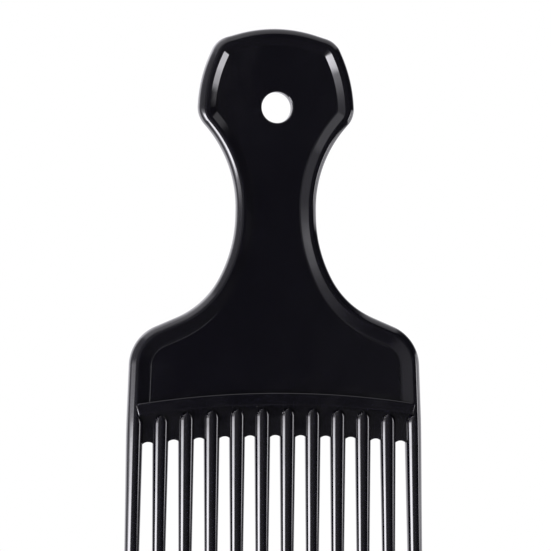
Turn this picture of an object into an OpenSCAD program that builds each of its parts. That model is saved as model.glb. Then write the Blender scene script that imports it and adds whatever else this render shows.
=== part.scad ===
// Afro pick: a flat moulded comb with a waisted handle, a raised bead round its edge and twelve long teeth.
// X is the width, Y the thickness (front face towards -Y) and Z the length, handle up.
// The origin is the centre of the hang hole, at mid thickness. Lengths are in millimetres.

/* [Head] */
// Height of the crown above the centre of the hang hole
head_top = 17.8; // [16.5:0.1:19]
// Radius of the crown's long curve
crown_r = 30.8; // [26:0.1:36]
// Slope of the crown where it reaches the upper corners, in degrees
crown_slope = 16.8; // [14:0.1:19]
// Half width at the upper corners of the head
corner_x = 13.6; // [12.8:0.1:14.4]
// Radius of the upper corners
corner_r = 5.2; // [4.6:0.1:6]
// Half width where the two flats of the head's side meet
side_x = 17.4; // [16.6:0.1:17.8]
// Height above the hang hole where the two flats of the head's side meet
side_rise = 6.6; // [5.6:0.1:7.6]
// Radius of the bulge in the head's side
side_r = 32; // [28:0.5:40]
// Half width at the lower corners of the head
jaw_x = 17.9; // [17.5:0.1:18.8]
// Depth of the lower corners of the head below the hang hole
jaw_drop = 2.1; // [1.4:0.1:3]
// Radius of the lower corners of the head
jaw_r = 5.6; // [5:0.1:6.2]

/* [Waist] */
// Half width at the upper end of the waist
neck_x = 8.9; // [8.2:0.1:9.6]
// Depth of the upper end of the waist below the hang hole
neck_drop = 12.1; // [11.2:0.1:13]
// Radius of the hollow at the upper end of the waist
neck_r = 27.7; // [22:0.1:32]
// Half width at the lower end of the waist
waist_x = 9.3; // [8.6:0.1:10]
// Depth of the lower end of the waist below the hang hole
waist_drop = 31.8; // [29:0.1:34]
// Radius of the hollow at the lower end of the waist
waist_r = 31; // [24:0.5:36]
// Half width in the middle of the flare between waist and shoulders
flare_x = 16; // [15:0.1:17]
// Depth of the middle of the flare below the hang hole
flare_drop = 44.4; // [42.5:0.1:46]
// Radius of the hollow in the middle of the flare
flare_r = 19.5; // [15:0.5:24]

/* [Body] */
// Half width at the shoulders
shoulder_x = 32.8; // [30.5:0.1:36]
// Depth of the shoulders below the hang hole
shoulder_drop = 51.6; // [49.5:0.1:53.5]
// Radius of the shoulders
shoulder_r = 9.7; // [8:0.1:11]
// Side slope of the body below the shoulders, in degrees from upright
body_slope = 2.2; // [1:0.1:3]

/* [Section] */
// Thickness of the recessed panel
panel_t = 3; // [2.4:0.1:4]
// Thickness over the raised bead
bead_t = 5; // [4.6:0.1:6]
// Width of the bead's rounded outer edge round the head and waist
bead_round = 1.6; // [1:0.1:1.8]
// Width of the flat on top of the head's bead
head_land = 0.8; // [0.6:0.1:1.3]
// Width of the flat on top of the waist's bead
waist_land = 0.45; // [0.1:0.05:0.7]
// Width of the flat on top of the body's bead
body_land = 0.2; // [0.1:0.05:0.4]
// Width of the whole bead round the head
head_bead_w = 3.9; // [3.5:0.1:4.3]
// Width of the whole bead along the waist
waist_bead_w = 4.1; // [3.5:0.1:4.4]
// Width of the whole bead along the flare, shoulders and sides
body_bead_w = 4.8; // [4.2:0.1:5.4]

/* [Hang hole] */
// Diameter of the hang hole
hole_d = 7; // [5:0.1:8]

/* [Comb bar] */
// Thickness of the raised bar over the teeth
bar_t = 5.6; // [5.2:0.1:7]
// Depth of the bar's top edge below the hang hole, on the centre line
bar_drop = 63.9; // [63:0.1:66]
// Height of the bar on the centre line
bar_h = 3; // [2.4:0.1:3.6]
// How far the ends of the bar stand in from the shoulders
bar_inset = 1.1; // [0.8:0.1:1.6]
// How much the ends of the bar draw in towards its lower edge
bar_draw = 0.6; // [0.2:0.1:1]
// Radius of the arched top edge of the bar
bar_arch_r = 208; // [170:1:230]

/* [Teeth] */
// Diameter of an inner tooth at its root
tooth_d = 3.7; // [3.2:0.05:3.8]
// Extra root diameter of the first and last tooth
outer_extra_d = 0.05; // [0:0.05:0.4]
// Diameter of an inner tooth at its tip
tip_d = 1.8; // [1.2:0.05:2.4]
// Diameter of the first and last tooth at its tip
outer_tip_d = 2.6; // [1.8:0.1:3]
// Depth of the tooth tips below the hang hole
tip_drop = 152.4; // [120:1:180]
// Outward lean of the first and last tooth, in degrees
outer_lean = 1.15; // [0.5:0.05:1.6]
// Gap between the bar and the round top of an inner tooth
tooth_gap = 0.45; // [0.1:0.05:0.8]

/* [Webs] */
// Thickness of the thin webs between the tooth roots
web_t = 1.6; // [1.2:0.1:3]
// Height of the webs below the bar, on the centre line
web_h = 6.6; // [5:0.1:8]
// Radius of the arch that the bar's lower edge and the tops of the teeth follow
root_arch_r = 230; // [200:1:260]
// Radius of the arch that the notches in the webs follow
notch_arch_r = 296; // [230:1:400]
// Radius of the round notch in the lower edge of each web
notch_r = 1.9; // [1.6:0.1:2.4]

/* [Hidden] */
$fn = 96;
// Every cut runs past its solid by this much
overrun = 1;
// Largest turn between two points of a curved edge, in degrees
arc_step = 6;
// Smallest radius left at the foot of the bead
foot_r_min = 0.5;
// Steps in the bead's rounded outer edge
round_steps = 5;
// Points round the oval section of an outer tooth
oval_points = 32;
// Steps in the round tip of an outer tooth, and how far it turns before its small flat end, in degrees
tip_steps = 5;
tip_turn = 80;
// Size of the small cut at each upper corner of the bar
bar_corner = bar_h/6;
// Number of teeth, one node each
tooth_count = 12;
black = [0.05, 0.05, 0.06];

// Height of an arch's line at a distance x from the centre, where top is its height at the centre
function arch_z(top, r, x) = top - r + sqrt(r*r - x*x);

bar_top = -bar_drop;
bar_low = bar_top - bar_h;
web_low = bar_low - web_h;
bar_x = shoulder_x - bar_inset;
bar_low_x = bar_x - bar_draw;
// The rim ends, and the outer teeth begin, level with the lower end corners of the bar
root_z = arch_z(bar_low, root_arch_r, bar_low_x);

crown_peak = head_top + crown_r*(1/cos(crown_slope) - 1);
body_x = shoulder_x + (-shoulder_drop - root_z)*tan(body_slope);
outer_d = tooth_d + outer_extra_d;
// The last tooth is flush with the side of the body, and the others share the width equally
pitch = 2*(body_x - outer_d/2)/(tooth_count - 1);

// Corners of the right half of the outline from top to bottom, as [x, z, fillet radius]
right_corners = [
    [corner_x, crown_peak - corner_x*tan(crown_slope), corner_r],
    [side_x, side_rise, side_r],
    [jaw_x, -jaw_drop, jaw_r],
    [neck_x, -neck_drop, neck_r],
    [waist_x, -waist_drop, waist_r],
    [flare_x, -flare_drop, flare_r],
    [shoulder_x, -shoulder_drop, shoulder_r]
];
last = len(right_corners) - 1;

// The whole outline: up the left side, over the crown and down the right side
corners = concat(
    [[-body_x, root_z, 0]],
    [for (i = [last:-1:0]) [-right_corners[i][0], right_corners[i][1], right_corners[i][2]]],
    [[0, crown_peak, crown_r]],
    right_corners,
    [[body_x, root_z, 0]]);
edge_count = len(corners) - 1;
// Edges counted from either end of the outline that carry the bead of the body, and of body and waist
body_edges = 2;
waist_edges = 5;

function place(i) = [corners[i][0], corners[i][1]];
function run(e) = place(e + 1) - place(e);
function heading(e) = atan2(run(e)[1], run(e)[0]);
function ahead(e) = run(e)/norm(run(e));
function inward(e) = [ahead(e)[1], -ahead(e)[0]];
function turn(i) = let (a = heading(i) - heading(i - 1)) a > 180 ? a - 360 : a < -180 ? a + 360 : a;

// Length of edge that a fillet takes up at corner i, none at the two ends
function taken(i) = i < 1 || i >= edge_count ? 0 : corners[i][2]*tan(abs(turn(i))/2);
// Share of its radius that a fillet can have where two fillets meet on a short edge
function room(e) = norm(run(e))/max(taken(e) + taken(e + 1), norm(run(e)));
function radius(i) = corners[i][2]*min(room(i - 1), room(i));

// Corner i moved inward by the insets of the two edges that meet there
function moved(i, d1, d2) = let (n1 = inward(i - 1), n2 = inward(i), c = n1[0]*n2[1] - n1[1]*n2[0])
    place(i) + [d1*n2[1] - d2*n1[1], n1[0]*d2 - n2[0]*d1]/c;

// End i of the outline on edge e, moved inward by d along the level line through it
function end_point(i, e, d) = place(i) + [d/inward(e)[0], 0];

// Arc at corner i of an inset outline
function arc_steps(i) = ceil(abs(turn(i))/arc_step);
function arc(i, d1, d2) = let (
        a = turn(i),
        side = a < 0 ? 1 : -1,
        r = max(radius(i) - side*(d1 + d2)/2, foot_r_min),
        h = heading(i - 1),
        start = moved(i, d1, d2) - ahead(i - 1)*r*tan(abs(a)/2),
        centre = start + side*r*[sin(h), -cos(h)],
        steps = arc_steps(i))
    [for (k = [0:steps]) let (t = h + a*k/steps) centre - side*r*[sin(t), -cos(t)]];

// Which of an inset's three widths belongs to edge e: 0 on the body, 1 on the waist, 2 on the head
function zone(e) = let (k = min(e, edge_count - 1 - e)) k < body_edges ? 0 : k < waist_edges ? 1 : 2;

// The outline, moved inward by widths given as [on the body, on the waist, on the head]
function ring(widths) = concat(
    [end_point(0, 0, widths[0])],
    [for (i = [1:edge_count - 1]) each arc(i, widths[zone(i - 1)], widths[zone(i)])],
    [end_point(edge_count, edge_count - 1, widths[0])]);

// Points of a ring up to the end of the arc at corner i, counting the first as 1
function points_to(i) = i < 1 ? 1 : points_to(i - 1) + arc_steps(i) + 1;
// The head meets the waist in the neck's hollow, and this is its corner on the left side
neck_corner = 4;
// Share of the neck's hollow that belongs to the head
head_share = 0.3;
ring_len = len(ring([0, 0, 0]));
left_neck = points_to(neck_corner) - 1 - floor(arc_steps(neck_corner)*head_share);
right_neck = ring_len - 1 - left_neck;
// Outline of the panel
foot = ring([body_bead_w, waist_bead_w, head_bead_w]);

// Section of the bead, from its outer edge over the front to the foot and back round the rear face,
// as [inset on the body, inset on the waist, inset on the head, distance from mid thickness]
body_round = outer_d/2;
front_section = concat(
    [for (k = [0:round_steps]) let (a = k*90/round_steps, rise = 1 - cos(a))
        [body_round*rise, bead_round*rise, bead_round*rise, -bead_t/2*sin(a)]],
    [[body_round + body_land, bead_round + waist_land, bead_round + head_land, -bead_t/2],
        [body_bead_w, waist_bead_w, head_bead_w, -panel_t/2]]);
section_len = len(front_section);
section = concat(front_section,
    [for (k = [section_len - 1:-1:1]) let (p = front_section[k]) [p[0], p[1], p[2], -p[3]]]);

// The bead swept from point first to point last of its rings
module bead(first, last) {
    rings = [for (p = section) ring(p)];
    sides = len(rings);
    stations = last - first + 1;
    points = [for (s = [first:last]) for (k = [0:sides - 1]) [rings[k][s][0], section[k][3], rings[k][s][1]]];
    swept(points, sides, stations);
}

// Solid through sections that each have the same number of points
module swept(points, sides, stations) {
    walls = [for (s = [0:stations - 2]) for (k = [0:sides - 1]) let (
            a = s*sides + k, b = s*sides + (k + 1)%sides, c = b + sides, d = a + sides)
        each [[a, b, c], [a, c, d]]];
    first_cap = [for (k = [sides - 1:-1:0]) k];
    last_cap = [for (k = [0:sides - 1]) (stations - 1)*sides + k];
    polyhedron(points, concat(walls, [first_cap, last_cap]), convexity = 10);
}

// Plate drawn in X and Z and given a thickness about the middle plane
module plate(t) {
    rotate([90, 0, 0]) linear_extrude(t, center = true, convexity = 10) children();
}

// Drawn area below an arched line from one x to another, as deep as the given drop
module below_arch(top, r, start_x, end_x, drop) {
    intersection() {
        translate([0, top - r]) circle(r, $fn = 720);
        translate([start_x, top - drop]) square([end_x - start_x, drop]);
    }
}

// Drawn area between the bar's two arched edges, with ends that draw in and cut upper corners
module bar_face() {
    cut_x = bar_x - bar_corner;
    cut_z = arch_z(bar_top, bar_arch_r, cut_x);
    difference() {
        intersection() {
            translate([0, bar_top - bar_arch_r]) circle(bar_arch_r, $fn = 720);
            polygon([[-bar_x, cut_z - bar_corner], [-cut_x, cut_z], [-cut_x, bar_top + overrun],
                [cut_x, bar_top + overrun], [cut_x, cut_z], [bar_x, cut_z - bar_corner],
                [bar_low_x, root_z], [bar_low_x - overrun, root_z - overrun],
                [-bar_low_x + overrun, root_z - overrun], [-bar_low_x, root_z]]);
        }
        translate([0, bar_low - root_arch_r]) circle(root_arch_r, $fn = 720);
    }
}

// Root axis of tooth i, counted from 0 at the left, and its share of the way out to the last tooth
function tooth_x(i) = (i - (tooth_count - 1)/2)*pitch;
function out_share(i) = tooth_x(i)/tooth_x(tooth_count - 1);
function lean(i) = outer_lean*pow(out_share(i), 3);

// An inner tooth: a taper with a round top between two webs and a round tip
module inner_tooth(i) {
    top = arch_z(bar_low, root_arch_r, tooth_x(i)) - tooth_gap - tooth_d/2;
    length = (top + tip_drop - tip_d/2)/cos(lean(i));
    color(black) translate([tooth_x(i), 0, top]) rotate([0, -lean(i), 0]) {
        rotate([90, 0, 0]) sphere(d = tooth_d);
        translate([0, 0, -length]) cylinder(h = length, d1 = tip_d, d2 = tooth_d);
        translate([0, 0, -length]) sphere(d = tip_d);
    }
}

// The first or last tooth: an oval taper, as thick as the rim that it carries on from, with a round tip
module outer_tooth(i) {
    tip_z = -tip_drop + outer_tip_d/2;
    // Each station as [height, half width, half thickness]
    stations = concat([[root_z, outer_d/2, bead_t/2]],
        [for (k = [0:tip_steps]) let (a = k*tip_turn/tip_steps, r = outer_tip_d/2*cos(a))
            [tip_z - outer_tip_d/2*sin(a), r, r]]);
    points = [for (s = stations) for (k = [0:oval_points - 1]) let (a = k*360/oval_points)
        [tooth_x(i) + (root_z - s[0])*tan(lean(i)) + s[1]*cos(a), s[2]*sin(a), s[0]]];
    color(black) swept(points, oval_points, len(stations));
}

module tooth(i) {
    if (i == 0 || i == tooth_count - 1) outer_tooth(i);
    else inner_tooth(i);
}

// The flat recessed plate of the head, with the hang hole
module head_panel() {
    color(black) difference() {
        plate(panel_t) polygon([for (k = [left_neck:right_neck]) foot[k]]);
        rotate([90, 0, 0]) cylinder(h = panel_t + 2*overrun, d = hole_d, center = true);
    }
}

// The flat recessed plate of the waist and body, down to the bar
module grip_panel() {
    color(black) plate(panel_t) difference() {
        polygon(concat([for (k = [0:left_neck]) foot[k]], [for (k = [right_neck:ring_len - 1]) foot[k]]));
        below_arch(bar_top, bar_arch_r, -body_x, body_x, bar_top - root_z + overrun);
    }
}

// The raised bead round the head
module head_rim() {
    color(black) bead(left_neck, right_neck);
}

// The raised bead down one side, from the head past the end of the bar to the outer tooth
module side_rim(first, last) {
    color(black) difference() {
        bead(first, last);
        plate(bead_t + 2*overrun) {
            bar_face();
            below_arch(bar_low, root_arch_r, -bar_low_x, bar_low_x, bar_low - root_z + overrun);
        }
    }
}

// The raised arched bar that ties the teeth together
module comb_bar() {
    color(black) plate(bar_t) bar_face();
}

// The thin web between the roots of tooth i and the next, with a round notch in its lower edge
module web(i) {
    limit_x = tooth_x(tooth_count - 1) - tooth_d/4;
    gap_x = (tooth_x(i) + tooth_x(i + 1))/2;
    notch_z = arch_z(web_low, notch_arch_r, gap_x) - notch_r;
    color(black) difference() {
        plate(web_t) difference() {
            below_arch(bar_low, root_arch_r, max(tooth_x(i), -limit_x), min(tooth_x(i + 1), limit_x),
                bar_low - notch_z);
            translate([gap_x, notch_z]) circle(notch_r);
        }
        tooth(i);
        tooth(i + 1);
    }
}

head_panel();
grip_panel();
head_rim();
side_rim(0, left_neck);  // left_rim
side_rim(right_neck, ring_len - 1);  // right_rim
comb_bar();
web(0);  // web_01
web(1);  // web_02
web(2);  // web_03
web(3);  // web_04
web(4);  // web_05
web(5);  // web_06
web(6);  // web_07
web(7);  // web_08
web(8);  // web_09
web(9);  // web_10
web(10);  // web_11
tooth(0);  // tooth_01
tooth(1);  // tooth_02
tooth(2);  // tooth_03
tooth(3);  // tooth_04
tooth(4);  // tooth_05
tooth(5);  // tooth_06
tooth(6);  // tooth_07
tooth(7);  // tooth_08
tooth(8);  // tooth_09
tooth(9);  // tooth_10
tooth(10);  // tooth_11
tooth(11);  // tooth_12
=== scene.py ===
# %% [markdown]
# # A hair pick moulded in glossy black plastic
# The real pick is one moulding: a flat handle with a raised bead round its edge, an arched bar and twelve long
# teeth. Here every region of the moulding becomes a mesh of its own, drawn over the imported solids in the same
# frame: X is the width, Y the thickness with the front towards -Y, and Z the length with the handle up.

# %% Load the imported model
import math
import bmesh
import bpy
from mathutils import Matrix, Vector


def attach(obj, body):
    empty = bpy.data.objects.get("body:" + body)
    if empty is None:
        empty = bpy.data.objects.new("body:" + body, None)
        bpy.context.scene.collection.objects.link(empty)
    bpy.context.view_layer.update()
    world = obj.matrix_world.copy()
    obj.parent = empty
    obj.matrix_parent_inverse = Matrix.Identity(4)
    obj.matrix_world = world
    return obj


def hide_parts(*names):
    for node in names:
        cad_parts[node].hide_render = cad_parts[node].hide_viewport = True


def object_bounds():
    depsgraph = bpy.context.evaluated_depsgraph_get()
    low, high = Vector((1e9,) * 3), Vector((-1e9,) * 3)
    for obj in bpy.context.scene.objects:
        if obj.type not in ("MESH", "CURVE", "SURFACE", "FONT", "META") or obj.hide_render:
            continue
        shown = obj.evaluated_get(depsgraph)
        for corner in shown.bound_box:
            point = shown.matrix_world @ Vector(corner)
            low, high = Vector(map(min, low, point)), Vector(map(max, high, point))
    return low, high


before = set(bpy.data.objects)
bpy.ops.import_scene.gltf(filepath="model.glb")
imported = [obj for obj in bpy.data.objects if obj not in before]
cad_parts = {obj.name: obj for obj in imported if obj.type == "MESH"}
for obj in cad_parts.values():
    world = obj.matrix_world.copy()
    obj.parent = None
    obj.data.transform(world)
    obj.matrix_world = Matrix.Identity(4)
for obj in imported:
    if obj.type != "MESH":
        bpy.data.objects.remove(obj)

cad_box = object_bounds()
print("CAD box:", [[round(value, 5) for value in corner] for corner in cad_box])

# %% [markdown]
# ## The sizes
# A moulder's drawing is in millimetres, so the meshes are drawn in millimetres too and made metres in one step
# when a piece is finished. The numbers are those of the solids, so that the dressed pick fits them exactly.
# A corner of the outline is a point and a fillet radius, which is how such a handle would be dimensioned.

# %% Main sizes in millimetres
HEAD_TOP, CROWN_R, CROWN_SLOPE = 17.8, 30.8, math.radians(16.8)
SHOULDER_X, SHOULDER_DROP, BODY_SLOPE = 32.8, 51.6, math.radians(2.2)
PANEL_T, BEAD_T, BAR_T, WEB_T = 3.0, 5.0, 5.6, 1.6
BEAD_ROUND = 1.6                    # radius of the bead's outer edge on head and waist
HEAD_LAND, WAIST_LAND, BODY_LAND = 0.8, 0.45, 0.2   # narrow flat on top of the bead
HEAD_BEAD_W, WAIST_BEAD_W, BODY_BEAD_W = 3.9, 4.1, 4.8
HOLE_D = 7.0
BAR_DROP, BAR_H, BAR_ARCH_R = 63.9, 3.0, 208.0
BAR_INSET, BAR_DRAW = 1.1, 0.6      # its ends stand in from the shoulders, and draw in a little lower down
TOOTH_D, TIP_D = 3.7, 1.8           # inner teeth
OUTER_D, OUTER_TIP_D = 3.75, 2.6    # the first and the last tooth
OUTER_LEAN = math.radians(1.15)
TIP_DROP, TOOTH_GAP = 152.4, 0.45
WEB_H, ROOT_ARCH_R, NOTCH_ARCH_R, NOTCH_R = 6.6, 230.0, 296.0, 1.9
TOOTH_COUNT = 12

def arch_z(top, radius, x):
    """Height of an arch at a distance x from the centre line."""
    return top - radius + math.sqrt(radius * radius - x * x)

BAR_TOP, BAR_LOW = -BAR_DROP, -BAR_DROP - BAR_H
WEB_LOW = BAR_LOW - WEB_H
BAR_X = SHOULDER_X - BAR_INSET
BAR_LOW_X = BAR_X - BAR_DRAW
ROOT_Z = arch_z(BAR_LOW, ROOT_ARCH_R, BAR_LOW_X)
CROWN_PEAK = HEAD_TOP + CROWN_R * (1 / math.cos(CROWN_SLOPE) - 1)
BODY_X = SHOULDER_X + (-SHOULDER_DROP - ROOT_Z) * math.tan(BODY_SLOPE)
PITCH = 2 * (BODY_X - OUTER_D / 2) / (TOOTH_COUNT - 1)
print(f"Body {2 * BODY_X:.1f} mm wide, tooth pitch {PITCH:.3f} mm, teeth begin at {ROOT_Z:.2f} mm")

# %% [markdown]
# ## A pencil that draws with operators
# The outline is straights and round fillets, one after the other. A bevel on the corners would be quick, but its
# curve is not quite round, and on a mirror-like plastic that shows in every reflection. So a single vertex is
# moved like a pencil: extruded and shifted for a straight, and spun about the fillet's centre for a true arc.

# %% The pencil
class Pencil:
    """Draws a chain of edges in an upright plane at one depth."""

    def __init__(self, bm, x, z, depth=0.0):
        self.bm, self.depth = bm, depth
        self.tip = self.start = bmesh.ops.create_vert(bm, co=(x, depth, z))["vert"][0]

    def straight(self, x, z, pieces=1):
        step = (Vector((x, self.depth, z)) - self.tip.co) / pieces
        for _ in range(pieces):
            self.tip = bmesh.ops.extrude_vert_indiv(self.bm, verts=[self.tip])["verts"][0]
            bmesh.ops.translate(self.bm, verts=[self.tip], vec=step)

    def arc(self, x, z, angle, pieces):
        """Turns about (x, z), anticlockwise as seen from the front when the angle is positive."""
        spun = bmesh.ops.spin(self.bm, geom=[self.tip], cent=(x, self.depth, z), axis=(0, -1, 0),
                              angle=angle, steps=pieces, use_merge=False, use_duplicate=False)
        self.tip = [v for v in spun["geom_last"] if isinstance(v, bmesh.types.BMVert)][0]

    def close(self):
        """Joins the tip to the start with one straight edge."""
        bmesh.ops.contextual_create(self.bm, geom=[self.tip, self.start])

# %% [markdown]
# ## The outline of the handle
# The edge of the pick runs up the left side, over the crown and down the right side. The bead is wide on the body,
# narrower on the waist and flat on top on the head, so each line that runs round the handle is the outline moved
# inward by one width on each of these three zones. All such lines get the same number of points, and so
# neighbours can be bridged into clean quads.

# %% Corners of the outline
right_side = [
    (13.6, CROWN_PEAK - 13.6 * math.tan(CROWN_SLOPE), 5.2),
    (17.4, 6.6, 32.0),
    (17.9, -2.1, 5.6),
    (8.9, -12.1, 27.7),
    (9.3, -31.8, 31.0),
    (16.0, -44.4, 19.5),
    (SHOULDER_X, -SHOULDER_DROP, 9.7),
]
corners = ([(-BODY_X, ROOT_Z, 0.0)] + [(-x, z, r) for x, z, r in reversed(right_side)]
           + [(0.0, CROWN_PEAK, CROWN_R)] + right_side + [(BODY_X, ROOT_Z, 0.0)])
EDGES = len(corners) - 1
print(f"{EDGES} straights, with the crown at {CROWN_PEAK:.1f} mm above the hole's centre")

# %% Straights and fillets
ARC_STEP = math.radians(2.0)
LEAST_R = 0.5                   # of a fillet on a line far inside the outline

def place(i):
    return Vector(corners[i][:2])

def run(e):
    return place(e + 1) - place(e)

def heading(e):
    return math.atan2(run(e).y, run(e).x)

def inward(e):
    ahead = run(e).normalized()
    return Vector((ahead.y, -ahead.x))

def turn(i):
    return (heading(i) - heading(i - 1) + math.pi) % (2 * math.pi) - math.pi

def taken(i):
    """Length of straight that the fillet at corner i uses up."""
    return corners[i][2] * math.tan(abs(turn(i)) / 2) if 0 < i < EDGES else 0.0

def room(e):
    """Share of their radii that the two fillets on a short edge can have."""
    return run(e).length / max(taken(e) + taken(e + 1), run(e).length)

def fillet(i):
    return corners[i][2] * min(room(i - 1), room(i))

print("Fillets as drawn:", [round(fillet(i), 1) for i in range(1, EDGES)])

# %% One line round the handle
def zone(e):
    """0 on the body, 1 on the waist and 2 on the head."""
    k = min(e, EDGES - 1 - e)
    return 0 if k < 2 else 1 if k < 5 else 2

def moved(i, before, after):
    """Corner i, moved inward by the widths on its two edges."""
    a, b = inward(i - 1), inward(i)
    return place(i) + Vector((before * b.y - after * a.y, a.x * after - b.x * before)) / (a.x * b.y - a.y * b.x)

def end_place(i, e, width, z):
    """Where the line meets the height z at one end of the outline."""
    ahead = run(e).normalized()
    at = place(i) + Vector((width / inward(e).x, 0.0))
    return at + ahead * (z - at.y) / ahead.y

def line_round(widths, depth, end_z=ROOT_Z):
    """Draws the outline moved inward by (body, waist, head) widths."""
    bm = bmesh.new()
    first = end_place(0, 0, widths[0], end_z)
    pencil = Pencil(bm, first.x, first.y, depth)
    for i in range(1, EDGES):
        before, after = widths[zone(i - 1)], widths[zone(i)]
        angle = turn(i)
        side = 1 if angle < 0 else -1
        radius = max(fillet(i) - side * (before + after) / 2, LEAST_R)
        ahead = run(i - 1).normalized()
        start = moved(i, before, after) - ahead * radius * math.tan(abs(angle) / 2)
        centre = start + side * radius * Vector((ahead.y, -ahead.x))
        pencil.straight(start.x, start.y, 3)
        pencil.arc(centre.x, centre.y, angle, math.ceil(abs(angle) / ARC_STEP))
    last = end_place(EDGES, EDGES - 1, widths[0], end_z)
    pencil.straight(last.x, last.y, 3)
    return bm

outline = line_round((0.0, 0.0, 0.0), 0.0)
print(f"Outline: {len(outline.verts)} points, {sum(edge.calc_length() for edge in outline.edges):.1f} mm")
outline.free()

# %% Lay a drawing into a mesh
def lay_in(bm, drawing):
    """Copies a drawing into a mesh and returns its edges there: an operator is quickest on a small mesh."""
    sheet, known = bpy.data.meshes.new("sheet"), len(bm.edges)
    drawing.to_mesh(sheet)
    drawing.free()
    bm.from_mesh(sheet)
    bpy.data.meshes.remove(sheet)
    bm.edges.ensure_lookup_table()
    return bm.edges[known:]

# %% [markdown]
# ## The finish of the plastic
# The pick is polished black polystyrene. Its colour is nearly all depth: what the eye sees is the studio in its
# surface. A mirror would look false, so a very low, wide swell like orange peel bends the reflections a little,
# finer moulding ripple breaks their edges, and cloudy handling marks and hair scratches change the roughness.
# Shader maths is easier to read as sums, so a small class wraps a socket and turns operators into Math nodes.

# %% A socket that can be used in sums
class Signal:
    """A shader output. Adding, subtracting or multiplying it adds the Math node for it."""

    def __init__(self, shader, socket):
        self.shader, self.socket = shader, socket

    def _sum(self, operation, a, b):
        return self.shader.node("ShaderNodeMath", {"operation": operation}, {0: a, 1: b})

    def __add__(self, other):
        return self._sum("ADD", self, other)

    def __sub__(self, other):
        return self._sum("SUBTRACT", self, other)

    def __rsub__(self, other):
        return self._sum("SUBTRACT", other, self)

    def __mul__(self, other):
        return self._sum("MULTIPLY", self, other)

    __radd__, __rmul__ = __add__, __mul__

# %% A node tree that is filled node by node
class Shader:
    """The nodes of one material or of the world."""

    def __init__(self, owner):
        owner.use_nodes = True
        self.tree = owner.node_tree
        self.tree.nodes.clear()

    def node(self, kind, settings={}, sockets={}, output=0):
        """Adds a node, makes its settings, and gives its sockets values or links."""
        made = self.tree.nodes.new(kind)
        for name, value in settings.items():
            setattr(made, name, value)
        for name, value in sockets.items():
            if isinstance(value, Signal):
                self.tree.links.new(value.socket, made.inputs[name])
            else:
                made.inputs[name].default_value = value
        return Signal(self, made.outputs[output]) if made.outputs else made

# %% Black polystyrene
def black_polystyrene():
    material = bpy.data.materials.new("black_polystyrene")
    s = Shader(material)
    here = s.node("ShaderNodeTexCoord", output="Object")
    # Bumps some 6 mm, 1 mm and 0.2 mm across
    swell = s.node("ShaderNodeTexNoise", {}, {"Vector": here, "Scale": 160.0, "Detail": 1.0, "Roughness": 0.4})
    peel = s.node("ShaderNodeTexNoise", {}, {"Vector": here, "Scale": 900.0, "Detail": 2.0, "Roughness": 0.5})
    ripple = s.node("ShaderNodeTexNoise", {}, {"Vector": here, "Scale": 5200.0, "Detail": 1.0, "Roughness": 0.5})
    height = swell * 0.9 + peel * 0.09 + ripple * 0.01
    bump = s.node("ShaderNodeBump", {}, {"Height": height, "Strength": 0.5, "Distance": 0.0001})
    # Cloudy marks of handling, a few centimetres across
    cloud = s.node("ShaderNodeTexNoise", {}, {"Vector": here, "Scale": 55.0, "Detail": 4.0, "Roughness": 0.6})
    cloud = s.node("ShaderNodeMapRange", {"interpolation_type": "SMOOTHSTEP"},
                   {"Value": cloud, "From Min": 0.45, "From Max": 0.75})
    # Hair scratches: noise drawn out along the length of the pick
    along = s.node("ShaderNodeMapping", {}, {"Vector": here, "Rotation": (0.0, 0.35, 0.0),
                                             "Scale": (5000.0, 5000.0, 160.0)})
    scratch = s.node("ShaderNodeTexNoise", {}, {"Vector": along, "Scale": 1.0, "Detail": 2.0, "Roughness": 0.7})
    scratch = s.node("ShaderNodeMapRange", {}, {"Value": scratch, "From Min": 0.68, "From Max": 0.78})
    rough = 0.05 + cloud * 0.045 + scratch * 0.12
    tint = s.node("ShaderNodeMix", {"data_type": "RGBA"},
                  {0: cloud, 6: (0.0032, 0.0029, 0.0058, 1.0), 7: (0.0050, 0.0047, 0.0080, 1.0)}, output=2)
    plastic = s.node("ShaderNodeBsdfPrincipled", {}, {"Base Color": tint, "Roughness": rough, "IOR": 1.59,
                                                      "Normal": bump})
    s.node("ShaderNodeOutputMaterial", {}, {"Surface": plastic})
    return material

plastic = black_polystyrene()
print("Material:", plastic.name, "with", len(plastic.node_tree.nodes), "nodes")

# %% [markdown]
# ## From drawing to piece
# Every mesh ends in the same way: points that fell together are merged, faces are turned outward, millimetres
# become metres, and the piece rides on the pick's one body in place of its CAD nodes. Flat faces are kept truly
# flat in the light by sharp edges round them, since a face that shares soft corners shades as if it bulged.

# %% Finish a piece
def finish_piece(bm, name, nodes, flats=False):
    bmesh.ops.remove_doubles(bm, verts=bm.verts, dist=0.0004)
    bmesh.ops.recalc_face_normals(bm, faces=bm.faces)
    for face in bm.faces:
        face.smooth = True
    for edge in bm.edges:
        if len(edge.link_faces) == 2:
            angle = edge.calc_face_angle(0.0)
            level = flats and any(abs(face.normal.y) > 0.99999 for face in edge.link_faces)
            edge.smooth = not (angle > math.radians(40) or level and angle > math.radians(2))
    open_edges = sum(len(edge.link_faces) != 2 for edge in bm.edges)
    bmesh.ops.scale(bm, verts=bm.verts, vec=(0.001, 0.001, 0.001))
    mesh = bpy.data.meshes.new(name)
    bm.to_mesh(mesh)
    bm.free()
    piece = bpy.data.objects.new(name, mesh)
    bpy.context.scene.collection.objects.link(piece)
    piece.data.materials.append(plastic)
    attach(piece, "root")
    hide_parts(*nodes)
    print(f"{name}: {len(mesh.polygons)} faces, {open_edges} open edges")

def bridge(bm, chains):
    """Skins over neighbouring lines, from the first to the last."""
    for a, b in zip(chains, chains[1:]):
        bmesh.ops.bridge_loops(bm, edges=a + b)

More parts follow.
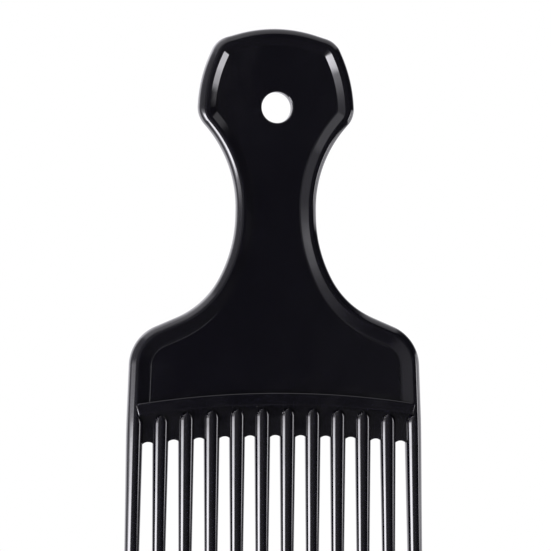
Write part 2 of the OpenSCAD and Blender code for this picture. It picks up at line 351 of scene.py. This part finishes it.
def both_sides(bm):
    """Copies the front half to the back, joined along the middle plane."""
    bmesh.ops.mirror(bm, geom=bm.verts[:] + bm.edges[:] + bm.faces[:], matrix=Matrix.Identity(4),
                     merge_dist=0.0004, axis="Y")

# %% [markdown]
# ## The raised bead
# A bead round the edge stiffens a thin moulding and is kind to the hand. Its section is a round outer edge, a
# narrow flat on top, and a slope down to the recessed panel. It could be a curve with a bevel object, but its
# width changes along the way. So the section is drawn as some thirty lines round the handle, and they are
# bridged. Lines set close beside the crest hold it crisp. The foot differs along the way, as on the real pick:
# crisp on the head, softly rounded on the waist, and on the body a hair deeper than the panel, with a small lip.

# %% Section of the bead
BODY_ROUND = OUTER_D / 2
LIPS = (0.08, 0.0, 0.0)         # how far the foot lies below the panel on body, waist and head
FOOT_SINKS = (0.14, 0.12, 0.02) # height of the small round at the foot
CREST_SINK = 0.015              # height of the small round at the crest
FOOT_BAND, LIP_BAND = 0.13, 0.08    # heights over which lines stand close, above the foot and down the lip
HIDDEN_Z = -66.8                # inside the bar, where the inner lines end out of sight

# On body, waist and head
ROUNDS = (BODY_ROUND, BEAD_ROUND, BEAD_ROUND)
CRESTS = (BODY_ROUND + BODY_LAND, BEAD_ROUND + WAIST_LAND, BEAD_ROUND + HEAD_LAND)
FEET = (BODY_BEAD_W, WAIST_BEAD_W, HEAD_BEAD_W)
FLAT = (BEAD_T - PANEL_T) / 2
DROPS = [FLAT + lip for lip in LIPS]
print(f"The panel lies {FLAT:.1f} mm below the top of the bead, and the body's foot {DROPS[0]:.2f} mm")

# %% Slopes of the bead
def slope_of(crest, foot, drop, foot_sink):
    """Angle of the slope that leaves room for the small round at its foot."""
    slope = math.atan2(drop, foot - crest)
    for _ in range(5):
        slope = math.atan2(drop, foot - foot_sink / math.sin(slope) - crest)
    return slope

SLOPES = [slope_of(*spot) for spot in zip(CRESTS, FEET, DROPS, FOOT_SINKS)]

def slope_width(crest, foot, drop, foot_sink, slope, sunk):
    """Inset of the section's line where it has sunk so far below the flat on top."""
    if sunk < CREST_SINK:
        r = CREST_SINK / (1 - math.cos(slope))
        return crest - CREST_SINK / math.sin(slope) + math.sqrt(r * r - (r - sunk) ** 2)
    left = drop - sunk
    if left < 0:
        return foot - left / 5         # out of sight under the panel
    if left < foot_sink:
        r = foot_sink / (1 - math.cos(slope))
        return foot - math.sqrt(r * r - (r - left) ** 2)
    return crest + sunk / math.tan(slope)

def slope_widths(sunk):
    return [slope_width(*spot, sunk) for spot in zip(CRESTS, FEET, DROPS, FOOT_SINKS, SLOPES)]

print("Slopes of the bead in degrees:", [round(math.degrees(slope), 1) for slope in SLOPES])

# %% The bead, line by line
lines = []
for k in range(15):
    a = math.radians(90) * k / 14
    lines.append(line_round([r * (1 - math.cos(a)) for r in ROUNDS], -BEAD_T / 2 * math.sin(a)))
lines.append(line_round([w - 0.03 for w in slope_widths(0.0)], -BEAD_T / 2))
for sunk in [CREST_SINK * (k / 4) ** 2 for k in range(5)] + [0.04, FLAT / 2]:
    lines.append(line_round(slope_widths(sunk), -BEAD_T / 2 + sunk, ROOT_Z if sunk < 0.2 else HIDDEN_Z))
for sunk in ([FLAT - FOOT_BAND * (k / 7) ** 2 for k in range(7, 0, -1)]
             + [max(DROPS) - LIP_BAND * (k / 5) ** 2 for k in range(5, -1, -1)]):
    lines.append(line_round(slope_widths(sunk), -BEAD_T / 2 + sunk, HIDDEN_Z))
lines.append(line_round(slope_widths(max(DROPS)), 0.0, HIDDEN_Z))
bm = bmesh.new()
bridge(bm, [lay_in(bm, line) for line in lines])
both_sides(bm)
bmesh.ops.holes_fill(bm, edges=[e for e in bm.edges if len(e.link_faces) == 1], sides=0)
finish_piece(bm, "rim_bead", ["head_rim", "left_rim", "right_rim"])

# %% [markdown]
# ## The recessed panel
# The flat between the beads is the thin wall that the plastic flows through. On the body its edge stands a hair
# above the foot of the slope and is rounded, as where two inserts of a mould meet, and that hair catches a thin
# line of light. On the waist and the head it runs in under the slope.
# A solid plate with a boolean hole would do, but closed lines that are bridged give a cleaner round on both edges.

# %% Lines round the panel
HALF, EDGE_R, HOLE_SOFT = PANEL_T / 2, 0.2, 0.32
TUCKS = (0.0, 0.35, 0.25)       # how far the panel runs in under the slope on body, waist and head
OVERLAP = 0.05                  # of pieces that run into each other

def panel_line(inset, depth):
    return line_round([foot + inset - tuck for foot, tuck in zip(FEET, TUCKS)], depth, HIDDEN_Z)

lines = [panel_line(-OVERLAP, 0.0)]
for k in range(5):
    a = math.radians(90) * k / 4
    lines.append(panel_line(EDGE_R * (1 - math.cos(a)) - OVERLAP, -HALF + EDGE_R * (1 - math.sin(a))))
lines.append(panel_line(EDGE_R, -HALF))
bm = bmesh.new()
drawn = [lay_in(bm, line) for line in lines]
rim = drawn[-1]
bridge(bm, drawn)
lows = sorted({v for edge in rim for v in edge.verts}, key=lambda v: (round(v.co.z, 4), v.co.x))[:2]
rim = rim + bmesh.ops.contextual_create(bm, geom=lows)["edges"]
print("Edges round the flat:", len(rim))

# %% Wall of the hang hole, half of its section spun about its axis
wall = bmesh.new()
r = HOLE_D / 2
tip = bmesh.ops.create_vert(wall, co=(r, 0.0, 0.0))["vert"]
tip = bmesh.ops.extrude_vert_indiv(wall, verts=tip)["verts"]
bmesh.ops.translate(wall, verts=tip, vec=(0.0, -HALF + HOLE_SOFT, 0.0))
tip = bmesh.ops.spin(wall, geom=tip, cent=(r + HOLE_SOFT, -HALF + HOLE_SOFT, 0.0), axis=(0, 0, 1),
                     angle=math.radians(90), steps=7, use_merge=False, use_duplicate=False)["geom_last"]
tip = bmesh.ops.extrude_vert_indiv(wall, verts=[v for v in tip if isinstance(v, bmesh.types.BMVert)])["verts"]
bmesh.ops.translate(wall, verts=tip, vec=(OVERLAP, 0.0, 0.0))
bmesh.ops.spin(wall, geom=wall.verts[:] + wall.edges[:], cent=(0, 0, 0), axis=(0, 1, 0),
               angle=math.radians(360), steps=120, use_merge=True, use_duplicate=False)
brink = [e for e in lay_in(bm, wall) if len(e.link_faces) == 1 and all(v.co.y < -HALF + 0.001 for v in e.verts)]
print("Edges round the hole:", len(brink))

# %% The flat between them, and the back
bmesh.ops.triangle_fill(bm, use_beauty=True, edges=rim + brink, normal=(0.0, -1.0, 0.0))
both_sides(bm)
bmesh.ops.holes_fill(bm, edges=[e for e in bm.edges if len(e.link_faces) == 1], sides=0)
finish_piece(bm, "recessed_panel", ["head_panel", "grip_panel"], flats=True)

# %% [markdown]
# ## Plates with softened edges
# The bar and the webs are flat-sided, so they are drawn as a face, extruded through their thickness and bevelled.
# A real moulding has no knife edges: the steel is broken with a stone, and that small round is what shines.

# %% A plate from a drawn outline
def plate(bm, pencil, thickness, soft, steps, rounded=lambda at: True):
    """Closes the pencil's outline, fills it, thickens it and rounds the chosen edges of its two faces."""
    pencil.close()
    bmesh.ops.remove_doubles(bm, verts=bm.verts, dist=0.001)
    face = bmesh.ops.contextual_create(bm, geom=bm.edges[:])["faces"][0]
    lifted = bmesh.ops.extrude_face_region(bm, geom=[face], use_keep_orig=True)
    bmesh.ops.translate(bm, verts=[v for v in lifted["geom"] if isinstance(v, bmesh.types.BMVert)],
                        vec=(0.0, thickness, 0.0))
    bmesh.ops.recalc_face_normals(bm, faces=bm.faces)
    brims = [e for e in bm.edges if len(e.link_faces) == 2
             and sum(abs(f.normal.y) > 0.99 for f in e.link_faces) == 1
             and all(rounded(v.co) for v in e.verts)]
    bmesh.ops.bevel(bm, geom=brims, offset=soft, offset_type="OFFSET", segments=steps, profile=0.5,
                    affect="EDGES", material=-1, clamp_overlap=True)

# %% The arched bar
BAR_SOFT = 0.4
bm = bmesh.new()
corner = BAR_H / 6
cut_x = BAR_X - corner
cut_z = arch_z(BAR_TOP, BAR_ARCH_R, cut_x)
pencil = Pencil(bm, -BAR_LOW_X, ROOT_Z, -BAR_T / 2)
pencil.straight(-BAR_X, cut_z - corner)
pencil.straight(-cut_x, cut_z)
pencil.arc(0.0, BAR_TOP - BAR_ARCH_R, -2 * math.asin(cut_x / BAR_ARCH_R), 72)
pencil.straight(BAR_X, cut_z - corner)
pencil.straight(BAR_LOW_X, ROOT_Z)
pencil.arc(0.0, BAR_LOW - ROOT_ARCH_R, 2 * math.asin(BAR_LOW_X / ROOT_ARCH_R), 72)
plate(bm, pencil, BAR_T, BAR_SOFT, 6)
finish_piece(bm, "arched_bar", ["comb_bar"], flats=True)

# %% [markdown]
# ## The webs
# Between two tooth roots the plastic thins to a web, and its lower edge is a round scallop, because a round notch
# doesn't start a crack as a square one would. Each web reaches to the middle of its two teeth and up under the
# bar, and only its scallop is rounded, so that neighbours meet flush above a tooth.

# %% Webs
WEB_SOFT, UNDER_BAR = 0.15, 0.5     # round of the scallop's edge, and how far a web runs up inside the bar

def tooth_x(i):
    return (i - (TOOTH_COUNT - 1) / 2) * PITCH

for i in range(TOOTH_COUNT - 1):
    bm = bmesh.new()
    left, right = tooth_x(i), tooth_x(i + 1)
    gap_x = (left + right) / 2
    notch_z = arch_z(WEB_LOW, NOTCH_ARCH_R, gap_x) - NOTCH_R
    pencil = Pencil(bm, gap_x + NOTCH_R, notch_z, -WEB_T / 2)
    pencil.arc(gap_x, notch_z, math.radians(180), 36)
    pencil.straight(left, notch_z)
    pencil.straight(left, arch_z(BAR_LOW, ROOT_ARCH_R, left) + UNDER_BAR)
    pencil.straight(right, arch_z(BAR_LOW, ROOT_ARCH_R, right) + UNDER_BAR)
    pencil.straight(right, notch_z)
    near = NOTCH_R + 0.01
    plate(bm, pencil, WEB_T, WEB_SOFT, 3,
          rounded=lambda at: abs(at.x - gap_x) < near and notch_z - 0.01 < at.z < notch_z + near)
    finish_piece(bm, f"scalloped_web_{i + 1:02d}", [f"web_{i + 1:02d}"], flats=True)

# %% [markdown]
# ## The inner teeth
# A tooth slides through hair, so it is a slim taper with a round tip. It could be a cone with a ball at its end.
# Drawn as half a section and spun about its axis it is one skin, and the light runs over it unbroken. Its upper end
# is round as seen from the front but full to the front, like a thumb, because the light stays on it right up to
# the bar: rings are extruded upward and drawn in from the sides only.

# %% Rings that grow a shape
POINT = 0.0001                  # a ring drawn in to this share has closed

def next_ring(bm, edges, about, shift, scale, inner=1.0):
    """Extrudes a ring of edges, shifts it and scales it; inner draws in the half towards the gap as well."""
    made = bmesh.ops.extrude_edge_only(bm, edges=edges)["geom"]
    ring = [v for v in made if isinstance(v, bmesh.types.BMVert)]
    bmesh.ops.translate(bm, verts=ring, vec=shift)
    space = Matrix.Translation(-about)
    bmesh.ops.scale(bm, verts=ring, vec=(scale[0], scale[1], 1.0), space=space)
    facing = -1 if about.x > 0 else 1
    drawn = [v for v in ring if (v.co.x - about.x) * facing > 0]
    bmesh.ops.scale(bm, verts=drawn, vec=(inner, 1.0, 1.0), space=space)
    return [e for e in made if isinstance(e, bmesh.types.BMEdge)]

# %% Ten inner teeth
def lean(i):
    return OUTER_LEAN * (tooth_x(i) / tooth_x(TOOTH_COUNT - 1)) ** 3

for i in range(1, TOOTH_COUNT - 1):
    bm = bmesh.new()
    x = tooth_x(i)
    top = arch_z(BAR_LOW, ROOT_ARCH_R, x) - TOOTH_GAP - TOOTH_D / 2
    tip = top - (top + TIP_DROP - TIP_D / 2) / math.cos(lean(i))
    pencil = Pencil(bm, x + TOOTH_D / 2, top)
    pencil.straight(x + TIP_D / 2, tip, 24)
    pencil.arc(x, tip, math.radians(-90), 10)
    bmesh.ops.spin(bm, geom=bm.verts[:] + bm.edges[:], cent=(x, 0.0, top), axis=(0, 0, 1),
                   angle=math.radians(360), steps=48, use_merge=True, use_duplicate=False)
    ring = [edge for edge in bm.edges if all(v.co.z > top - 0.001 for v in edge.verts)]
    turns = [math.radians(90) * k / 14 for k in range(15)]
    for a, b in zip(turns, turns[1:]):
        rise = TOOTH_D / 2 * (math.sin(b) - math.sin(a))
        ring = next_ring(bm, ring, Vector((x, 0.0, 0.0)), (0.0, 0.0, rise),
                         (max(math.cos(b), POINT) / math.cos(a), 1.0))
    bmesh.ops.remove_doubles(bm, verts=bm.verts, dist=0.0008)
    bmesh.ops.holes_fill(bm, edges=[e for e in bm.edges if len(e.link_faces) == 1], sides=0)
    bmesh.ops.rotate(bm, verts=bm.verts, cent=(x, 0.0, top), matrix=Matrix.Rotation(-lean(i), 3, "Y"))
    finish_piece(bm, f"tapered_tooth_{i + 1:02d}", [f"tooth_{i + 1:02d}"])

# %% [markdown]
# ## The outer teeth
# The first and the last tooth carry on from the bead down the side, so they begin as a thick oval and slim down to
# a round tip, stouter than the others because these two take the knocks. Towards the bar their inner half ends in
# a round shoulder. A cone can't be oval at one end and round at the other, so a ring is extruded station by station
# and scaled to each oval: above the shoulder only its inner half is drawn in.

# %% Shape of an outer tooth
EASE = 6.0                      # over about this length the tooth takes up its own lean and taper

def outer_tooth(bm, i):
    tip_z = -TIP_DROP + OUTER_TIP_D / 2

    def size(z):
        """Half width, half thickness and centre of the oval at a height; it leaves the bead without a kink."""
        fall = ROOT_Z - z
        still = fall * math.exp(-fall / EASE) if fall > 0 else 0.0
        share = (fall - still) / (ROOT_Z - tip_z)
        out = math.copysign(math.tan(BODY_SLOPE) - math.tan(OUTER_LEAN), tooth_x(i))
        return (BODY_ROUND + (OUTER_TIP_D / 2 - BODY_ROUND) * share,
                BEAD_T / 2 + (OUTER_TIP_D / 2 - BEAD_T / 2) * share,
                tooth_x(i) + fall * math.tan(lean(i)) + still * out)

    def follow(edges, heights, drawn_in=None):
        """Rings from the first height to the last, the first being where the edges are."""
        for k in range(1, len(heights)):
            was, now = size(heights[k - 1]), size(heights[k])
            about = Vector((now[2], 0.0, heights[k]))
            inner = drawn_in[k] / drawn_in[k - 1] if drawn_in else 1.0
            edges = next_ring(bm, edges, about, (now[2] - was[2], 0.0, heights[k] - heights[k - 1]),
                              (now[0] / was[0], now[1] / was[1]), inner)
        return edges

    start_z = ROOT_Z - BODY_ROUND
    half_w, half_t, x = size(start_z)
    bmesh.ops.create_circle(bm, cap_ends=False, segments=56, radius=1.0)
    bmesh.ops.scale(bm, verts=bm.verts, vec=(half_w, half_t, 1.0))
    bmesh.ops.translate(bm, verts=bm.verts, vec=(x, 0.0, start_z))
    first = bm.edges[:]
    turns = [math.radians(90) * k / 12 for k in range(13)]
    follow(first, [start_z + BODY_ROUND * math.sin(a) for a in turns],
           [max(math.cos(a), POINT) for a in turns])
    edges = follow(first, [start_z + (tip_z - start_z) * (k / 32) ** 1.5 for k in range(33)])
    about = Vector((size(tip_z)[2], 0.0, 0.0))
    turns = [math.radians(90) * k / 10 for k in range(11)]
    for a, b in zip(turns, turns[1:]):
        scale = max(math.cos(b), POINT) / math.cos(a)
        fall = OUTER_TIP_D / 2 * (math.sin(b) - math.sin(a))
        edges = next_ring(bm, edges, about, (0.0, 0.0, -fall), (scale, scale))

# %% Two outer teeth
for i in (0, TOOTH_COUNT - 1):
    bm = bmesh.new()
    outer_tooth(bm, i)
    bmesh.ops.remove_doubles(bm, verts=bm.verts, dist=0.0008)
    bmesh.ops.holes_fill(bm, edges=[e for e in bm.edges if len(e.link_faces) == 1], sides=0)
    finish_piece(bm, f"tapered_tooth_{i + 1:02d}", [f"tooth_{i + 1:02d}"])

# %% [markdown]
# ## The floor
# The pick stands on its tips on a pale card. Close to the pick the card is lit and takes its shadow, and further
# out it turns into plain white, so that card and background meet without a line. The dark below the pick in the
# photograph shows in its polish, so to glossy rays the card is faint.

# %% Helpers for the studio
def between(s, value, low, high, soft):
    """1 between two numbers and 0 outside, with a soft edge."""
    up = s.node("ShaderNodeMapRange", {"interpolation_type": "SMOOTHSTEP"},
                {"Value": value, "From Min": low - soft / 2, "From Max": low + soft / 2})
    down = s.node("ShaderNodeMapRange", {"interpolation_type": "SMOOTHSTEP"},
                  {"Value": value, "From Min": high - soft / 2, "From Max": high + soft / 2,
                   "To Min": 1.0, "To Max": 0.0})
    return up * down

def ray_kinds(s):
    """Which rays are the camera's, and which are reflected or refracted sharply."""
    kinds = s.node("ShaderNodeLightPath").socket.node.outputs
    return (Signal(s, kinds["Is Camera Ray"]),
            Signal(s, kinds["Is Glossy Ray"]) + Signal(s, kinds["Is Transmission Ray"]))

def stand_in_studio(bm, name, material, turned=(0.0, 0.0, 0.0), at=(0.0, 0.0, 0.0)):
    """Makes an object of the studio, which is no part of the pick."""
    mesh = bpy.data.meshes.new(name)
    bm.to_mesh(mesh)
    bm.free()
    thing = bpy.data.objects.new(name, mesh)
    thing.location, thing.rotation_euler = at, turned
    bpy.context.scene.collection.objects.link(thing)
    mesh.materials.append(material)
    return thing

# %% Floor card
FLOOR_Z, FLOOR_R = cad_box[0][2], 0.55
LIT_R, WHITE_R = 0.22, 0.5      # lit as a card up to the one, and plain white from the other

def pale_card():
    material = bpy.data.materials.new("pale_card")
    s = Shader(material)
    here = s.node("ShaderNodeTexCoord", output="Object")
    from_middle = s.node("ShaderNodeVectorMath", {"operation": "LENGTH"}, {0: here}, output="Value")
    far = s.node("ShaderNodeMapRange", {"interpolation_type": "SMOOTHSTEP"},
                 {"Value": from_middle, "From Min": LIT_R, "From Max": WHITE_R})
    seen, mirrored = ray_kinds(s)
    paper = s.node("ShaderNodeBsdfDiffuse", {}, {"Color": (0.72, 0.72, 0.72, 1.0)})
    white = s.node("ShaderNodeEmission", {}, {"Color": (1.0, 1.0, 1.0, 1.0), "Strength": 1.0})
    clear = s.node("ShaderNodeBsdfTransparent")
    lit = s.node("ShaderNodeMixShader", {}, {0: far, 1: paper, 2: white})
    fading = 1 - (1 - far) * (1 - mirrored * 0.92)
    unseen = s.node("ShaderNodeMixShader", {}, {0: fading, 1: paper, 2: clear})
    s.node("ShaderNodeOutputMaterial", {},
           {"Surface": s.node("ShaderNodeMixShader", {}, {0: seen, 1: unseen, 2: lit})})
    return material

bm = bmesh.new()
bmesh.ops.create_circle(bm, cap_ends=True, segments=96, radius=FLOOR_R)
stand_in_studio(bm, "floor_card", pale_card(), at=(0.0, 0.0, FLOOR_Z))
print(f"Floor at {FLOOR_Z * 1000:.1f} mm")

# %% [markdown]
# ## The studio
# A black glossy thing is lit by what it reflects. The photograph's highlights move over the pick as they do in a
# small tent with its lights close by, so the lights are cards a hand or two away: a bright upright one to the left
# with a glow round it, a weaker one to the right and a diffuser overhead. Round them the tent's walls are areas of
# the sky, dim at the front left, dark at the right and white behind. Lamps would have hard rims, and a card of
# light can fade towards its edges as cloth does. The cards are clear where they don't glow, and hidden from the
# camera.

# %% A card of light
TINT = (0.96, 0.945, 1.0, 1.0)  # the photograph's lights are a little cold

def light_card(name, at, turned, size, glows):
    """A card of light; each glow is (left, right, low, high, soft, level) on the card."""
    material = bpy.data.materials.new(name)
    s = Shader(material)
    place = s.node("ShaderNodeSeparateXYZ", {}, {"Vector": s.node("ShaderNodeTexCoord", output="Object")})
    across, up = (Signal(s, place.socket.node.outputs[k]) for k in range(2))
    strength = 0.0
    for left, right, low, high, soft, level in glows:
        strength = between(s, across, left, right, soft) * between(s, up, low, high, soft) * level + strength
    glow = s.node("ShaderNodeEmission", {}, {"Color": TINT, "Strength": strength})
    s.node("ShaderNodeOutputMaterial", {},
           {"Surface": s.node("ShaderNodeAddShader", {}, {0: glow, 1: s.node("ShaderNodeBsdfTransparent")})})
    bm = bmesh.new()
    bmesh.ops.create_grid(bm, x_segments=1, y_segments=1, size=1.0)
    bmesh.ops.scale(bm, verts=bm.verts, vec=(size[0] / 2, size[1] / 2, 1.0))
    card = stand_in_studio(bm, name, material, turned, at)
    card.visible_camera = card.visible_shadow = False
    return card

def beside(azimuth, distance):
    """Place and turn of an upright card that faces the pick from that side."""
    a = math.radians(azimuth)
    return (distance * math.sin(a), -distance * math.cos(a), 0.0), (math.radians(90), 0.0, a)

# %% Three cards of light
cards = [
    light_card("left_light", *beside(-75, 0.30), (0.60, 0.60), [
        (-0.07, 0.147, -0.272, -0.080, 0.030, 7.5),     # the light itself
        (-0.04, 0.122, -0.275, -0.106, 0.040, 8.0),     # its middle
        (-0.16, 0.170, -0.280, -0.033, 0.080, 2.2)]),   # glow of the cloth round it
    light_card("right_light", *beside(95, 0.30), (0.60, 0.60), [
        (-0.10, 0.180, -0.150, 0.005, 0.020, 1.9),      # dim cloth
        (-0.140, -0.092, -0.130, -0.020, 0.030, 5.6),   # a narrow light on it
        (-0.140, -0.092, -0.130, -0.048, 0.030, 3.0)]), # which is brighter low down
    light_card("diffuser", (0.0, 0.0, 0.12), (0.0, 0.0, 0.0), (0.80, 0.90), [
        (-0.18, 0.170, -0.190, 0.420, 0.030, 0.50),
        (-0.18, 0.170, -0.100, 0.420, 0.120, 0.45)])]   # stronger behind
print("Cards of light:", [f"{light.name} at {light.location.length * 100:.0f} cm" for light in cards])

# %% The tent's walls
def tent():
    world = bpy.data.worlds.new("tent")
    bpy.context.scene.world = world
    s = Shader(world)
    way = s.node("ShaderNodeTexCoord", output="Generated")
    parts = s.node("ShaderNodeSeparateXYZ", {}, {"Vector": way}).socket.node.outputs
    x, y, z = (Signal(s, parts[k]) for k in range(3))
    azimuth = s.node("ShaderNodeMath", {"operation": "ARCTAN2"}, {0: x, 1: 0.0 - y}) * (180 / math.pi)
    height = s.node("ShaderNodeMath", {"operation": "ARCSINE"}, {0: z}) * (180 / math.pi)

    def wall(left, right, low, high, soft, level):
        return between(s, azimuth, left, right, soft) * between(s, height, low, high, soft) * level

    walls = (wall(-140, -36, -60, 75, 24, 0.30)       # left wall
             + wall(-140, 1, -40, 75, 12, 0.22)       # and on round to the front
             + wall(-164, -132, -32, 70, 14, 0.9)     # light that spills on the left of the backdrop
             + wall(11, 34, -40, 20, 4, 0.05)         # a shine from the right
             + wall(2, 16, -40, -2.4, 0.7, 0.09)      # and from the floor in front
             + wall(-4, 9.2, 4.0, 14, 1.2, 0.075)     # and, faint, from above the camera
             + 0.048)
    backdrop = s.node("ShaderNodeMapRange", {"interpolation_type": "SMOOTHSTEP"},
                      {"Value": y, "From Min": math.cos(math.radians(52)), "From Max": math.cos(math.radians(42))})
    seen, mirrored = ray_kinds(s)
    white = seen + (1 - seen) * backdrop * (0.7 + mirrored * 0.3)
    strength = white + (1 - seen) * walls
    colour = s.node("ShaderNodeMix", {"data_type": "RGBA"}, {0: seen, 6: TINT, 7: (1.0, 1.0, 1.0, 1.0)}, output=2)
    s.node("ShaderNodeOutputWorld", {},
           {"Surface": s.node("ShaderNodeBackground", {}, {"Color": colour, "Strength": strength})})
    return world

world = tent()
print("Tent made with", len(world.node_tree.nodes), "nodes")

# %% [markdown]
# ## The camera
# The photograph was taken with a long lens from a little to the left, level with the body of the pick. The scale
# is 4.45 pixels to the millimetre in a frame of 551 pixels, and the lower part of the teeth is out of the frame.

# %% Camera
FRAME_PX, SCALE_PX = 551, 4452.0    # width of the frame, and pixels per metre at the pick
DISTANCE, CAMERA_Z, AIM_Z = 0.5786, -0.0444, -0.0377
SIDE, ROLL = math.radians(9.88), math.radians(0.2)
lens = bpy.data.cameras.new("camera")
camera = bpy.data.objects.new("camera", lens)
bpy.context.scene.collection.objects.link(camera)
camera.location = (-DISTANCE * math.sin(SIDE), -DISTANCE * math.cos(SIDE), CAMERA_Z)
look = Vector((0.0, 0.0, AIM_Z)) - camera.location
camera.rotation_euler = (look.to_track_quat("-Z", "Y").to_matrix() @ Matrix.Rotation(ROLL, 3, "Z")).to_euler()
lens.sensor_width = 36.0
lens.lens = 36.0 * SCALE_PX * look.length / FRAME_PX
lens.clip_start = 0.01
bpy.context.scene.camera = camera
print(f"Lens {lens.lens:.1f} mm at {look.length * 1000:.0f} mm")

# %% View transform
bpy.context.scene.view_settings.view_transform = "Standard"
